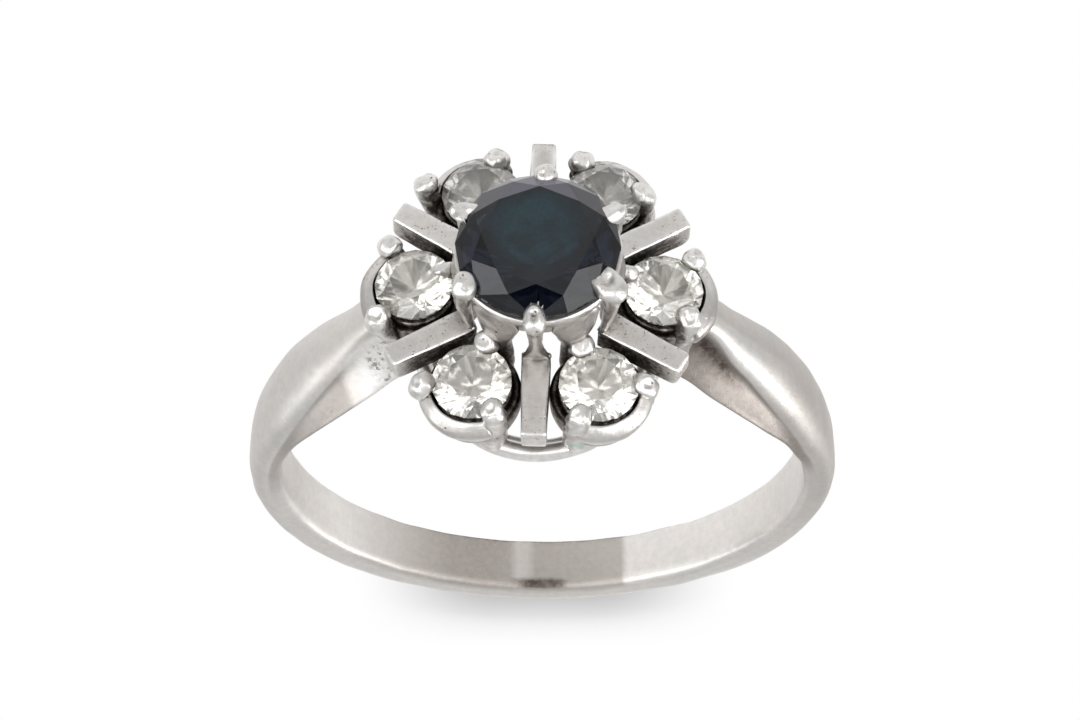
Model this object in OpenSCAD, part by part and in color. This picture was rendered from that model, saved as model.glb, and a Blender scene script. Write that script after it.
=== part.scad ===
// Cluster ring: a dark round center stone, six small brilliants round it
// and six flat bars between them, on a plain tapering shank.
// The ring lies on its side: the base rim and the back of the band rest
// on the ground, and the head points along -Y. Sizes are in millimetres.

/* [Finger] */
// Inside diameter of the band
bore_d = 17.2; // [15:0.1:21]

/* [Shank] */
// Width of the band at the back
back_w = 1.9; // [1.5:0.1:2.6]
// Thickness of the band at the back
back_t = 1.25; // [0.9:0.05:1.8]
// Width of the shoulders at their widest
shoulder_w = 3.3; // [2.6:0.1:3.8]

/* [Stones] */
// Girdle diameter of the center stone
center_d = 4.9; // [4.4:0.1:6]
// Girdle diameter of each side stone
side_d = 2.4; // [2:0.1:2.8]
// Gap between the girdles of center and side stones, seen from above
side_spread = 0.11; // [0.05:0.01:0.5]
// Outward lean of the side stones in degrees
side_lean = 5; // [0:1:12]
// Clearance between each stone and its setting
stone_gap = 0.05; // [0.03:0.01:0.1]

/* [Head] */
// Space between the finger and the base rim
rim_gap = 0.15; // [0.1:0.05:0.6]
// Thickness of the base rim
rim_t = 0.55; // [0.4:0.05:0.8]
// Width of the base rim seen from above
rim_w = 0.8; // [0.6:0.05:1.1]
// How far the base rim lies inside the bars' ends, along the finger
rim_inset = 0.4; // [0.3:0.05:0.8]
// Width of the oval base rim across the finger, as a share of its length
rim_oval = 0.85; // [0.8:0.01:1]
// Height of the bar tops above the base rim
bar_rise = 2.1; // [1.9:0.05:2.6]
// Depth of each bar
bar_depth = 0.95; // [0.7:0.05:1.1]
// Width of each bar at its inner end
bar_w = 0.86; // [0.6:0.02:1]
// Width of each bar at its outer end
bar_tip_w = 0.74; // [0.5:0.02:0.9]
// How far the bars reach past the side stones
bar_past = 0.1; // [0:0.05:0.3]
// Drop of the side girdles below the bar tops
side_drop = 0.14; // [0:0.02:0.3]
// Height of the center girdle above the bar tops
center_rise = 2.3; // [1.9:0.1:3]

/* [Claws] */
// Diameter of the center claws at their tips
center_claw_d = 0.74; // [0.5:0.02:0.8]
// Diameter of the side claws
side_claw_d = 0.72; // [0.5:0.02:0.8]
// Wall of the collets and the rails
collet_wall = 0.28; // [0.2:0.02:0.4]

/* [Hidden] */
$fn = 48;

// Radius of the finger hole, and the side stones' places round the head
bore_r = bore_d / 2;
side_count = 6;
side_step = 360 / side_count;
side_ring_r = (center_d + side_d) / 2 + side_spread;
head_r = side_ring_r + side_d / 2 + bar_past;
rim_r = head_r - rim_inset;
// The head sits turned by this much on the shank
head_spin = -1.6;
// Width of the base rim's upper half as a share of its width
rim_top_share = 0.55;

// Rounding and edge of the bars' outer ends, the length that keeps a
// bar's full width, and how far its cutter reaches past both ends
bar_round = 0.3;
bar_edge = 0.08;
bar_straight = 0.4;
bar_margin = 1;

// Levels above the center of the finger hole
rim_z0 = bore_r + rim_gap;
rim_z1 = rim_z0 + rim_t;
bar_z = rim_z1 + bar_rise;
side_z = bar_z - side_drop;
center_z = bar_z + center_rise;

// Stone proportions as shares of the girdle diameter. The center stone has
// the wider table and the lower crown.
table_share = 0.58;
crown_share = 0.15;
center_table_share = 0.68;
center_crown_share = 0.125;
girdle_share = 0.025;
pavilion_share = 0.43;
// Radii of the inner facet corners: of the star facets as a share of the
// way from the table's edge to the girdle, and of the pavilion's as a share
// of the girdle radius
star_share = 0.52;
lower_share = 0.24;

// Side collets: radii and levels from each stone's girdle center
seat_r = side_d / 2 + 0.08;
seat_top = -0.28;
seat_h = 1.2;
seat_taper = 0.35;
rail_r = side_d / 2 + 0.45;
rail_top = -0.42;
rail_edge = 0.12;
// The rail's top slopes up from its edge to this level, this far outside
// the girdle
rail_crest = -0.14;
rail_lip = 0.16;
rail_spread = 57;
side_claw_r = side_d / 2 + 0.16;
side_claw_top = 0.14;
side_foot_r = side_claw_r - 0.22;
side_foot_d = side_claw_d * 1.1;
side_foot_z = rim_z1 - 0.12 - side_z;
outer_claw_turn = 60;
// Thickness of a claw between its round ends, as a share of theirs
claw_waist = 0.95;
// The collets' walls start in the base rim at this distance from its edge
// and below its top, and never nearer to the stone's axis than the hole
wall_inset = 0.1;
wall_sink = 0.1;
wall_hole = 0.05;

// Center collet and claws
collet_r = center_d / 2 + 0.1;
collet_top = -0.2;
collet_h = 1.15;
bar_in = center_d / 2 - 0.12;
center_claw_r = center_d / 2 - 0.1;
center_claw_top = 0.12;
claw_neck_r = 0.25;
claw_foot_r = 0.28;
claw_foot_in = 0.16;
arch_r = 0.73;
collet_taper = 0.3;
collet_edge = 0.04;
// Posts between the collets of the side stones and the center collet
post_r = 0.38;
post_in = 0.28;

// Where the shoulders end: in the collets of the first and fourth side
// stones, this far inside and below their rails
shoulder_in = 0.54;
shoulder_drop = 0.9;
end_x = side_ring_r + rail_r - shoulder_in;
end_z = side_z + rail_top - shoulder_drop;
end_angle = 180 - atan2(end_x, end_z);
end_t = norm([end_x, end_z]) - bore_r;

// Sections of the shank: how far they reach inside the bore before it is
// cut, their edge above it, and the shares of the crease's height at which
// the side bends and the dome starts
cut_depth = 0.45;
bore_edge = 0.04;
side_bend = 0.45;
dome_foot = 0.85;
// The crease's depth, and the part of the way round where it deepens
notch = 0.07;
notch_from = 0.8;
notch_over = 0.1;

// Sections of the shank from the back to the head. Each row gives the
// share of the way round, the share of the growth in width at the bore,
// the dome's width as a share of that width, the share of the growth in
// thickness, the crease's height as a share of the thickness, the dome's
// power, from nearly flat at 0.5 to round at 1, and for the front side
// alone, where a wide bevel runs up the shoulder, its own crease's place
// and height as shares of the half width and the thickness.
SECTIONS = [
    [0.00, 0.00, 1.00, 0.03, 0.52, 0.50, 1.00, 0.52],
    [0.16, 0.00, 1.00, 0.05, 0.52, 0.50, 1.00, 0.52],
    [0.32, 0.03, 1.00, 0.09, 0.52, 0.50, 1.00, 0.52],
    [0.48, 0.10, 1.00, -0.02, 0.48, 0.55, 1.00, 0.48],
    [0.62, 0.30, 1.00, -0.14, 0.43, 0.65, 1.00, 0.43],
    [0.72, 0.66, 1.00, -0.12, 0.38, 0.80, 0.94, 0.39],
    [0.80, 0.98, 0.98, -0.01, 0.33, 0.95, 0.76, 0.42],
    [0.87, 1.00, 0.97, 0.12, 0.30, 1.00, 0.58, 0.54],
    [0.925, 0.66, 1.02, 0.33, 0.42, 1.00, 0.47, 0.70],
    [0.965, 0.22, 1.13, 0.70, 0.60, 1.00, 0.42, 0.84],
    [1.00, -0.05, 1.26, 1.00, 0.72, 1.00, 0.44, 0.95]
];
section_steps = 3;

// Value of column c at the share u between rows i and i + 1, on a smooth
// curve through the rows
function row(i) = SECTIONS[max(0, min(len(SECTIONS) - 1, i))];
function smooth_at(i, u, c) =
    let (a = row(i - 1)[c], b = row(i)[c], d = row(i + 1)[c], e = row(i + 2)[c])
    b + 0.5 * u * (d - a + u * (2 * a - 5 * b + 4 * d - e + u * (3 * (b - d) + e - a)));
function section_at(i, u) = [for (c = [0 : 7]) smooth_at(i, u, c)];
HALF_WAY = concat(
    [for (i = [0 : len(SECTIONS) - 2]) for (s = [0 : section_steps - 1]) section_at(i, s / section_steps)],
    [row(len(SECTIONS) - 1)]);

// Outline of a section as points [across, above the bore], up the front
// side and down the back
dome_steps = 5;
function thickness(s) = back_t + (end_t - back_t) * s[3];
function side_outline(s, crease, height) =
    let (w = (back_w + (shoulder_w - back_w) * s[1]) / 2,
         wd = w * crease,
         t = thickness(s),
         td = t * height,
         cut = notch * max(0, min(1, (s[0] - notch_from) / notch_over)))
    concat([[w, -cut_depth], [w, bore_edge], [(w + wd) / 2 - cut, td * side_bend],
            [wd - cut, td * dome_foot - cut]],
           [for (k = [0 : dome_steps - 1]) let (a = 90 * k / dome_steps)
               [wd * pow(cos(a), s[5]), td + (t - td) * sin(a)]]);
function outline(s) =
    let (front = side_outline(s, s[6], s[7]), back = side_outline(s, s[2], s[4]), n = len(back))
    concat(front, [[0, thickness(s)]], [for (k = [n - 1 : -1 : 0]) [-back[k][0], back[k][1]]]);
function place(p, a) = [(bore_r + p[1]) * sin(a), p[0], -(bore_r + p[1]) * cos(a)];
WAY = concat([for (i = [len(HALF_WAY) - 1 : -1 : 1]) [-1, HALF_WAY[i]]],
             [for (s = HALF_WAY) [1, s]]);

// Tilt at which the ring lies: the band's back and the head's lower side
// both touch the ground
function reach(points, a) = max([for (p = points) p[0] * cos(a) - p[1] * sin(a) + p[2]]);
BACK_POINTS = [for (p = outline(HALF_WAY[0])) [p[0], -(bore_r + p[1]), 0]];
FEET = [for (k = [0 : side_count - 1]) for (turn = [-outer_claw_turn, outer_claw_turn])
    let (a = head_spin + side_step * k)
    [side_ring_r * sin(a) + side_foot_r * sin(a + turn), side_z + side_foot_z, side_foot_d / 2]];
HEAD_POINTS = concat([[rim_r, rim_z0, 0], [head_r, bar_z - bar_depth + bar_round, 0]], FEET);
function settle(lo, hi, n) = let (mid = (lo + hi) / 2)
    n == 0 ? mid
    : reach(HEAD_POINTS, mid) > reach(BACK_POINTS, mid) ? settle(mid, hi, n - 1)
    : settle(lo, mid, n - 1);
lie = settle(0, 45, 30);
ground = reach(BACK_POINTS, lie);
far_y = max([for (p = BACK_POINTS) -p[0] * sin(lie) - p[1] * cos(lie)]);
center_top = center_z + center_d * (girdle_share / 2 + center_crown_share);
near_y = -max(center_claw_r * sin(lie) + (center_z + center_claw_top) * cos(lie) + center_claw_d / 2,
              center_d / 2 * center_table_share * sin(lie) + center_top * cos(lie));

// Puts the upright ring on its side with the origin under its middle
module lying() {
    translate([0, -(far_y + near_y) / 2, ground])
        rotate([90 - lie, 0, 0])
            children();
}

module head_place() {
    rotate([0, 0, head_spin]) children();
}

// Place of side stone k: its girdle center, leaning outward
module side_place(k) {
    rotate([0, 0, head_spin + side_step * (k - 1)])
        translate([side_ring_r, 0, side_z])
            rotate([0, side_lean, 0])
                children();
}

// Radius and rise of a stone's inner crown corners, as shares of the girdle
// radius and of the crown's height
function star_at(table) = table + (1 - table) * star_share;
function star_rise(table) = (1 - star_at(table) * cos(22.5)) / (1 - table);

// Round brilliant of diameter d with eight-fold facets, its girdle's middle
// at z = 0, with the given shares for its table and crown
function ring_points(r, z, n, turn) = [for (k = [0 : n - 1])
    let (a = 360 * k / n + turn) [r * cos(a), r * sin(a), z]];
module brilliant(d, table, crown) {
    r = d / 2;
    rt = r * table;
    g = d * girdle_share / 2;
    zt = g + d * crown;
    zb = -g - d * pavilion_share;
    rs = r * star_at(table);
    zs = g + d * crown * star_rise(table);
    rl = r * lower_share;
    zl = zb + (-g - zb) * rl * cos(22.5) / r;
    points = concat(ring_points(rt, zt, 8, 0), ring_points(rs, zs, 8, 22.5), ring_points(r, g, 16, 0),
                    ring_points(r, -g, 16, 0), ring_points(rl, zl, 8, 22.5), [[0, 0, zb]]);
    faces = concat(
        [[for (k = [7 : -1 : 0]) k]],
        [for (k = [0 : 7]) let (n = (k + 1) % 8, p = (k + 7) % 8) each [
            [k, n, 8 + k],
            [k, 8 + k, 16 + 2 * k, 8 + p],
            [8 + k, 17 + 2 * k, 16 + 2 * k],
            [8 + k, 16 + 2 * n, 17 + 2 * k],
            [48 + k, 32 + 2 * k, 33 + 2 * k],
            [48 + k, 33 + 2 * k, 32 + 2 * n],
            [56, 48 + p, 32 + 2 * k, 48 + k]]],
        [for (k = [0 : 15]) let (n = (k + 1) % 16) [16 + k, 16 + n, 32 + n, 32 + k]]);
    polyhedron(points, faces, convexity = 4);
}

// Room that the same stone takes in its setting, with the gap
module stone_room(d, table, crown) {
    r = d / 2 + stone_gap;
    g = d * girdle_share / 2 + stone_gap;
    rotate_extrude()
        polygon([[0, -g - d * pavilion_share], [r, -g], [r, g],
                 [d / 2 * star_at(table) + stone_gap, g + d * crown * star_rise(table)],
                 [d / 2 * table + stone_gap, g + d * crown],
                 [0, g + d * crown]]);
}

module shank() {
    count = len(outline(HALF_WAY[0]));
    rings = len(WAY);
    points = [for (w = WAY) each [for (p = outline(w[1])) place(p, w[0] * w[1][0] * end_angle)]];
    sides = [for (i = [0 : rings - 2]) for (k = [0 : count - 1])
        let (a = i * count + k, b = i * count + (k + 1) % count) each
        [[a, b, b + count], [a, b + count, a + count]]];
    half = (count - 1) / 2;
    last = (rings - 1) * count;
    caps = concat(
        [for (k = [0 : half - 2]) each [
            [count - 1 - k, count - 2 - k, k + 1, k],
            [last + k, last + k + 1, last + count - 2 - k, last + count - 1 - k]]],
        [[half + 1, half, half - 1], [last + half - 1, last + half, last + half + 1]]);
    difference() {
        polyhedron(points, concat(sides, caps), convexity = 6);
        rotate([90, 0, 0]) cylinder(h = 2 * shoulder_w, r = bore_r, center = true, $fn = 96);
    }
}

// Oval outline inside the base rim's edge by the given amount
function oval(inside) = [for (a = [0 : 5 : 355])
    [(rim_r * rim_oval - inside) * cos(a), (rim_r - inside) * sin(a)]];

// Base rim, wide at the bottom and narrower above
module base_rim() {
    for (layer = [[rim_w, rim_t / 2], [rim_w * rim_top_share, rim_t]])
        translate([0, 0, rim_z0])
            linear_extrude(layer[1])
                difference() {
                    polygon(oval(0));
                    polygon(oval(layer[0]));
                }
}

// Bar with its outer end rounded under
module bar() {
    bar_floor = bar_z - bar_depth;
    half_bar = [[bar_in - bar_margin, bar_w / 2], [bar_in + bar_straight, bar_w / 2],
                [head_r + bar_margin, bar_tip_w / 2]];
    intersection() {
        rotate([90, 0, 0])
            linear_extrude(2 * bar_w, center = true)
                polygon(concat(
                    [[bar_in, bar_floor]],
                    [for (a = [-90 : 15 : 0]) [head_r - bar_round + bar_round * cos(a),
                                               bar_floor + bar_round + bar_round * sin(a)]],
                    [[head_r, bar_z - bar_edge], [head_r - bar_edge, bar_z], [bar_in, bar_z]]));
        translate([0, 0, rim_z0])
            linear_extrude(bar_z)
                polygon(concat(half_bar, [for (k = [2 : -1 : 0]) [half_bar[k][0], -half_bar[k][1]]]));
    }
}

// Claw of the center stone: a slim stem from the inner end of a bar and a
// round tip over the girdle
module center_claw() {
    foot_z = bar_z - bar_depth / 2;
    tip_z0 = center_z + center_claw_top;
    lean = atan((bar_in + claw_foot_in - center_claw_r) / (tip_z0 - foot_z));
    translate([bar_in + claw_foot_in, 0, foot_z])
        rotate([0, -lean, 0])
            cylinder(h = (tip_z0 - foot_z) / cos(lean), r1 = claw_foot_r, r2 = claw_neck_r);
    translate([center_claw_r, 0, tip_z0]) sphere(d = center_claw_d);
}

// Scalloped collet under the center girdle, arched between the claws
module center_collet() {
    top = center_z + collet_top;
    bottom = top - collet_h;
    difference() {
        rotate_extrude($fn = 96)
            polygon([[collet_r - collet_taper - collet_wall, bottom], [collet_r - collet_taper, bottom],
                     [collet_r, top - collet_taper], [collet_r - collet_edge, top],
                     [collet_r - collet_taper - collet_wall / 2, top]]);
        for (k = [0 : side_count - 1])
            rotate([0, 0, side_step * k])
                translate([collet_r, 0, bottom - collet_edge])
                    rotate([0, 90, 0])
                        cylinder(h = collet_r, r = arch_r, center = true, $fn = 40);
    }
}

// Claw of a side stone at an angle round it, from its foot to a round tip
module side_claw(turn, foot_r, foot_z, foot_d) {
    rise = side_claw_top - foot_z;
    lean = atan((side_claw_r - foot_r) / rise);
    rotate([0, 0, turn]) {
        translate([foot_r, 0, foot_z]) {
            sphere(d = foot_d, $fn = 32);
            rotate([0, lean, 0])
                cylinder(h = rise / cos(lean), d1 = foot_d * claw_waist, d2 = side_claw_d * claw_waist, $fn = 32);
        }
        translate([side_claw_r, 0, side_claw_top]) sphere(d = side_claw_d, $fn = 32);
    }
}

// Collet of side stone k: a seat ring, a wall from the base rim up to a
// rail round its outer side, and three claws
module side_collet(k) {
    a = head_spin + side_step * (k - 1);
    rim_here = rim_r / norm([cos(a) / rim_oval, sin(a)]);
    foot = rim_z1 - wall_sink - side_z;
    foot_r = rim_here - wall_inset - side_ring_r;
    waist = seat_top - seat_h;
    rotate_extrude()
        polygon([[seat_r - seat_taper - collet_wall, waist], [seat_r - seat_taper, waist],
                 [seat_r, seat_top - rail_edge], [seat_r, seat_top], [seat_r - collet_wall, seat_top]]);
    rotate([0, 0, -rail_spread])
        rotate_extrude(angle = 2 * rail_spread, $fn = 72)
            polygon([[max(wall_hole, foot_r - collet_wall), foot], [foot_r, foot], [rail_r, rail_top - rail_edge],
                     [rail_r - rail_edge, rail_top], [side_d / 2 + rail_lip, rail_crest],
                     [seat_r - collet_wall / 2, rail_crest]]);
    for (turn = [-outer_claw_turn, outer_claw_turn])
        side_claw(turn, side_foot_r, side_foot_z, side_foot_d);
    side_claw(180, side_claw_r, waist + collet_wall, side_claw_d);
}

// Post that joins a side collet to the underside of the center collet
module post() {
    foot = side_z + seat_top - seat_h + collet_wall;
    translate([collet_r - post_in, 0, foot])
        cylinder(h = center_z + collet_top - collet_taper - foot, r = post_r, $fn = 32);
}

module ring_mount() {
    color("silver")
        lying()
            difference() {
                union() {
                    shank();
                    head_place() {
                        base_rim();
                        center_collet();
                        for (k = [0 : side_count - 1])
                            rotate([0, 0, side_step * k]) {
                                post();
                                rotate([0, 0, side_step / 2]) {
                                    bar();
                                    center_claw();
                                }
                            }
                    }
                    for (k = [1 : side_count]) side_place(k) side_collet(k);
                }
                head_place() translate([0, 0, center_z])
                    stone_room(center_d, center_table_share, center_crown_share);
                for (k = [1 : side_count]) side_place(k)
                    stone_room(side_d, table_share, crown_share);
            }
}

module center_stone() {
    color("midnightblue")
        lying()
            head_place()
                translate([0, 0, center_z])
                    brilliant(center_d, center_table_share, center_crown_share);
}

module side_stone(k) {
    color("gainsboro")
        lying()
            side_place(k)
                brilliant(side_d, table_share, crown_share);
}

ring_mount();
center_stone();
for (k = [1 : side_count])
    side_stone(k);
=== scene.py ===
"""Cluster ring lying on its side: worn white gold settings, a dark blue stone
and six brilliants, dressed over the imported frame. Pieces are worked out in
millimetres with the ring upright, the finger hole's middle at the origin and
the head along +Z, and are then laid on their side in metres."""

import bpy
import numpy as np
from mathutils import Matrix, Vector


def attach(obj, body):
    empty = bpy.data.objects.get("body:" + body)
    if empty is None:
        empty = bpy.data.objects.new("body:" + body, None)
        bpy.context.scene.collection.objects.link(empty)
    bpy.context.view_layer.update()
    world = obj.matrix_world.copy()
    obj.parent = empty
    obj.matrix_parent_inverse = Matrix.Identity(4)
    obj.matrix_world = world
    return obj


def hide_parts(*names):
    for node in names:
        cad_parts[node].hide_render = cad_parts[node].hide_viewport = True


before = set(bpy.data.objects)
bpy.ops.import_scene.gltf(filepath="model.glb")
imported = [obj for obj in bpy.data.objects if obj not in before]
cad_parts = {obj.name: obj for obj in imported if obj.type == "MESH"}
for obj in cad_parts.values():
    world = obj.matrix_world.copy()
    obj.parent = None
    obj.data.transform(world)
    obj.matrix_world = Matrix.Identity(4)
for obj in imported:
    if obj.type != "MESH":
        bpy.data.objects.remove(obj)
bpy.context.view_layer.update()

MM = 0.001
# How the ring lies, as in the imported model: tilt, lift and shift along Y
LIE = np.radians(11.5867)
LIFT = 2.8076
SHIFT = 2.32697

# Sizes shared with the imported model
BORE_R = 8.6
BACK_W, BACK_T, SHOULDER_W = 1.9, 1.25, 3.3
SIDE_RING_R = 3.76
HEAD_R = 5.06
RIM_R, RIM_OVAL, RIM_Z0, RIM_T, RIM_W = 4.66, 0.85, 8.75, 0.55, 0.8
BAR_Z, BAR_DEPTH, BAR_IN, BAR_W, BAR_TIP_W = 11.4, 0.95, 2.33, 0.86, 0.74
SIDE_Z, CENTER_Z = 11.26, 13.7
HEAD_SPIN, SIDE_LEAN = np.radians(-1.6), np.radians(5.0)
END_ANGLE, END_T = np.radians(153.898), 2.4689
COLLET_R, COLLET_TOP, COLLET_H = 2.48, -0.2, 1.15
RAIL_R, RAIL_TOP, RAIL_SPREAD = 1.65, -0.42, np.radians(57.0)
# Middle of the head as the ring lies
HEAD_SPOT = (0, -11.5, 4.0)
# Small green stain at the foot of one front claw
GREEN_SPOT = (-1.14, 4.60, 9.75)
# Colours of the metal, clean, rubbed and worn, and of what lies on it;
# the brown and the dark one also give the band its painted shade
GREY_GOLD, WARM_GOLD = (0.72, 0.705, 0.685, 1), (0.75, 0.72, 0.69, 1)
RUBBED_GOLD, WORN_GOLD = (0.94, 0.93, 0.91, 1), (0.47, 0.44, 0.415, 1)
BROWN_FILM_AND_SHADE, DARK_SOIL_AND_SHADE = (0.285, 0.248, 0.222, 1), (0.070, 0.056, 0.046, 1)
GREEN_STAIN = (0.30, 0.60, 0.50, 1)
# How much darker and browner the top of each bar is, and the rail of each side collet
BAR_TOP_DARKENING = (0.16, 0.0, 0.12, 0.16, 0.42, 0.0)
RAIL_DARKENING = (0.55, 0.24, 0.14, 0.44, 0.10, 0.22)


def upright_to_scene(p):
    """Lays upright points on their side: a turn about X by 90 degrees less
    the tilt, then the lift and the shift along Y, and metres."""
    p = np.asarray(p, float)
    s, c = np.sin(LIE), np.cos(LIE)
    return MM * np.stack([p[..., 0], p[..., 1] * s - p[..., 2] * c + SHIFT,
                          p[..., 1] * c + p[..., 2] * s + LIFT], -1)


def laid(way):
    """Lays an upright direction on its side."""
    return (upright_to_scene(way) - upright_to_scene(np.zeros(3))) / MM


def turned(p, angle):
    """Turns points about the head's axis."""
    c, s = np.cos(angle), np.sin(angle)
    return np.stack([p[..., 0] * c - p[..., 1] * s, p[..., 0] * s + p[..., 1] * c, p[..., 2]], -1)


def ramp(x, start, length):
    """Rises from nought at the start to one, over a length."""
    return np.clip((x - start) / length, 0, 1)


def bell(x, middle, width, power=2):
    """Bell curve, one at its middle, with a flatter top for a higher power."""
    return np.exp(-((x - middle) / width) ** power)


def beside(p, k):
    """Moves points from side stone k's own axes, its girdle's middle at the
    origin and outward along X, to their place on the head."""
    c, s = np.cos(SIDE_LEAN), np.sin(SIDE_LEAN)
    q = np.stack([p[..., 0] * c + p[..., 2] * s + SIDE_RING_R, p[..., 1],
                  p[..., 2] * c - p[..., 0] * s + SIDE_Z], -1)
    return turned(q, HEAD_SPIN + np.pi / 3 * k)


def smooth_path(points, steps):
    """Catmull-Rom curve through rows of numbers, with as many steps between
    each two rows."""
    p = np.asarray(points, float)
    p = np.concatenate([2 * p[:1] - p[1:2], p, 2 * p[-1:] - p[-2:-1]])
    u = (np.arange(steps) / steps)[None, :, None]
    a, b, c, d = p[:-3, None], p[1:-2, None], p[2:-1, None], p[3:, None]
    q = b + 0.5 * u * (c - a + u * (2 * a - 5 * b + 4 * c - d + u * (3 * (b - c) + d - a)))
    return np.concatenate([q.reshape(-1, p.shape[1]), p[-2:-1]])


def cut_corners(p, times=2):
    """Rounds closed outlines, whose points run along the last axis but one:
    each edge keeps its points at a quarter and at three quarters."""
    for _ in range(times):
        n = np.roll(p, -1, axis=-2)
        p = np.stack([0.75 * p + 0.25 * n, 0.25 * p + 0.75 * n], -2)
        p = p.reshape(*p.shape[:-3], -1, p.shape[-1])
    return p


def wobble(p, size, seed, count=14):
    """Smooth random vectors for points, as the sum of sine waves in random
    directions with wavelengths round the size."""
    rng = np.random.default_rng(seed)
    way = rng.normal(size=(count, 3))
    way *= (2 * np.pi / size * rng.uniform(0.7, 1.4, count) / np.linalg.norm(way, axis=1))[:, None]
    push = rng.normal(size=(count, 3))
    return np.sin(p @ way.T + rng.uniform(0, 2 * np.pi, count)) @ push / np.sqrt(count)


class Shells:
    """Closed shells that make up one piece, with a value on each point for its soil and wear, and on the band
    for painted shade.
    """

    def __init__(self):
        self.points, self.faces, self.soil, self.count = [], [], [], 0

    def add(self, p, soil=0.0, round_rows=False, hand=0.006, grain=0.8, seed=1):
        """Adds a grid whose columns close on themselves. Its rows close too,
        or else both ends are closed by fans round their middles. The points
        move by a small wobble, as hand-finished metal does."""
        rows, cols = p.shape[:2]
        soil = np.broadcast_to(soil, (rows, cols)).astype(float).reshape(-1)
        flat = p.reshape(-1, 3)
        i = np.arange(rows if round_rows else rows - 1)[:, None]
        j = np.arange(cols)[None, :]
        i2, j2 = (i + 1) % rows, (j + 1) % cols
        corners = i * cols + j, i * cols + j2, i2 * cols + j2, i2 * cols + j
        quads = np.stack(np.broadcast_arrays(*corners), -1).reshape(-1, 4)
        fans = np.zeros((0, 3), int)
        if not round_rows:
            n = rows * cols
            flat = np.concatenate([flat, p[0].mean(0)[None], p[-1].mean(0)[None]])
            soil = np.concatenate([soil, [soil[:cols].mean(), soil[-cols:].mean()]])
            j = j[0]
            first = np.stack([(j + 1) % cols, j, np.full(cols, n)], -1)
            last = np.stack([n - cols + j, n - cols + (j + 1) % cols, np.full(cols, n + 1)], -1)
            fans = np.concatenate([first, last])
        tris = np.concatenate([quads[:, :3], quads[:, [0, 2, 3]], fans])
        a, b, c = (flat[tris[:, n]] for n in range(3))
        if np.einsum("ij,ij->", a, np.cross(b, c)) < 0:
            quads, fans = quads[:, ::-1], fans[:, ::-1]
        flat = flat + hand * wobble(flat, grain, seed)
        self.points.append(flat)
        self.soil.append(soil)
        self.faces += [f.tolist() for f in (quads + self.count, fans + self.count)]
        self.count += len(flat)

    def make(self, name, material):
        """The piece as a smooth mesh on the frame, in the CAD metal's place."""
        mesh = bpy.data.meshes.new(name)
        mesh.from_pydata(upright_to_scene(np.concatenate(self.points)).tolist(), [], sum(self.faces, []))
        mesh.polygons.foreach_set("use_smooth", np.ones(len(mesh.polygons), bool))
        mesh.attributes.new("soil", "FLOAT", "POINT").data.foreach_set("value", np.concatenate(self.soil))
        mesh.materials.append(material)
        mesh.update()
        piece = bpy.data.objects.new(name, mesh)
        bpy.context.collection.objects.link(piece)
        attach(piece, "root")
        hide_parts("ring_mount")


class Wire:
    """A socket in a material. Arithmetic on it adds Math nodes."""

    def __init__(self, tree, socket=None):
        self.tree, self.socket = tree, socket

    def add(self, kind, settings=None, inputs=None, out=0):
        """Adds a node: its settings first, then values or links for sockets
        by name or number. Gives one of its outputs."""
        node = self.tree.nodes.new("ShaderNode" + kind)
        for key, value in (settings or {}).items():
            setattr(node, key, value)
        for key, value in (inputs or {}).items():
            if isinstance(value, Wire):
                self.tree.links.new(value.socket, node.inputs[key])
            else:
                node.inputs[key].default_value = value
        return Wire(self.tree, node.outputs[out])

    def math(self, operation, other=0.0, turned_round=False):
        a, b = (other, self) if turned_round else (self, other)
        return self.add("Math", {"operation": operation}, {0: a, 1: b})

    def __add__(self, other):
        return self.math("ADD", other)

    def __sub__(self, other):
        return self.math("SUBTRACT", other)

    def __rsub__(self, other):
        return self.math("SUBTRACT", other, True)

    def __mul__(self, other):
        return self.math("MULTIPLY", other)

    def __pow__(self, other):
        return self.math("POWER", other)

    __radd__, __rmul__ = __add__, __mul__

    def step(self, low, high, bottom=0.0, top=1.0):
        """A smooth step from bottom at low to top at high."""
        return self.add("MapRange", {"interpolation_type": "SMOOTHSTEP"},
                        {0: self, 1: low, 2: high, 3: bottom, 4: top})

    def blend(self, first, second):
        """Mixes two colours by this value."""
        return self.add("Mix", {"data_type": "RGBA"}, {0: self, 6: first, 7: second}, 2)


def new_material(name):
    """An empty material, its output and a wire to build from."""
    material = bpy.data.materials.new(name)
    material.use_nodes = True
    tree = material.node_tree
    tree.nodes.clear()
    out = tree.nodes.new("ShaderNodeOutputMaterial")
    return material, out, Wire(tree)


def millimetres(w, stretch=(1, 1, 1), turn=(0, 0, 0)):
    """Object coordinates in millimetres, turned and stretched."""
    place = w.add("TexCoord", out="Object")
    return w.add("Mapping", {}, {"Vector": place, "Rotation": turn,
                                 "Scale": tuple(1000.0 * s for s in stretch)})


def noise(w, place, scale, detail=2.0, rough=0.5):
    """Cloudy noise between nought and one."""
    return w.add("TexNoise", {}, {"Vector": place, "Scale": scale, "Detail": detail, "Roughness": rough})


def distance(w, place, spot):
    """Distance in millimetres from an upright spot."""
    spot = tuple(upright_to_scene(spot) / MM)
    return w.add("VectorMath", {"operation": "DISTANCE"}, {0: place, 1: spot}, "Value")


def facing(w, way):
    """How much a facet faces along an upright direction, from -1 to 1."""
    normal = w.add("NewGeometry", out="True Normal")
    return w.add("VectorMath", {"operation": "DOT_PRODUCT"}, {0: normal, 1: tuple(laid(way))}, "Value")


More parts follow.
